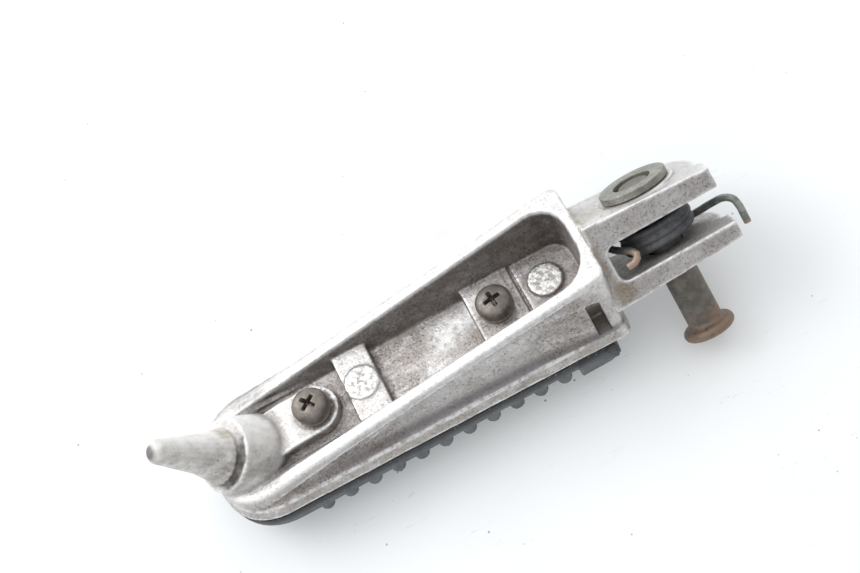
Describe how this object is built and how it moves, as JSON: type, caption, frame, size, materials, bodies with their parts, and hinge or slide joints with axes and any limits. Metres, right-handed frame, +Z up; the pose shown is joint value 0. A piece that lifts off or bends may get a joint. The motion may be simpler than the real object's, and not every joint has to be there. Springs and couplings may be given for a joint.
{
  "type": "motorcycle foot peg",
  "caption": "Folding motorcycle foot peg lying upturned: hollow die-cast body with a ribbed rubber tread, a tapered feeler at the tip and a fork with pivot pin, washer and torsion spring.",
  "frame": {"origin": "centre of the bounding box's footprint, on the flat surface that the peg lies on", "axes": "+X along the peg from the feeler to the fork, +Z up from the surface, +Y towards the side of the tread that lies lower; the cavity faces up and the pivot pin's axis runs through the mount pivot, up and towards +Y"},
  "size_m": [0.1734, 0.0552, 0.0462],
  "materials": {
    "cast_aluminium": "die cast, tumbled, dirty and pitted",
    "tread_rubber": "matt, dusty",
    "zinc_steel": "dull zinc plating",
    "screw_steel": "dark, tarnished plating",
    "pin_steel": "dark, with rust on the head",
    "washer_steel": "worn dull zinc",
    "spring_steel": "blackened, worn grey at the ends"
  },
  "bodies": {
    "peg": {"peg_casting": "cast_aluminium", "tread_rubber": "tread_rubber", "tread_backing_plate": "zinc_steel", "weld_nut_outer": "zinc_steel", "weld_nut_inner": "zinc_steel", "lock_washer_outer": "screw_steel", "lock_washer_inner": "screw_steel", "pad_screw_outer": "screw_steel", "pad_screw_inner": "screw_steel", "spring_coil": "spring_steel", "spring_short_leg": "spring_steel"},
    "spring_leg": {"spring_hook_leg": "spring_steel"},
    "pin": {"pivot_pin": "pin_steel"},
    "washer": {"pin_washer": "washer_steel"}
  },
  "joints": [
    {"name": "fold", "type": "hinge", "parent": "peg", "child": "spring_leg", "pos_m": [0.06339, 0.00429, 0.0241], "axis": [-0.0051, 0.8402, 0.5423], "range_deg": [0, 85], "stiffness_Nm_per_rad": 1.2, "deforming": ["spring_coil"]},
    {"name": "pin_slide", "type": "slide", "parent": "peg", "child": "pin", "axis": [-0.0051, 0.8402, 0.5423], "range_m": [0, 0.0192]},
    {"name": "washer_lift", "type": "slide", "parent": "peg", "child": "washer", "axis": [-0.0051, 0.8402, 0.5423], "range_m": [0, 0.02]}
  ]
}
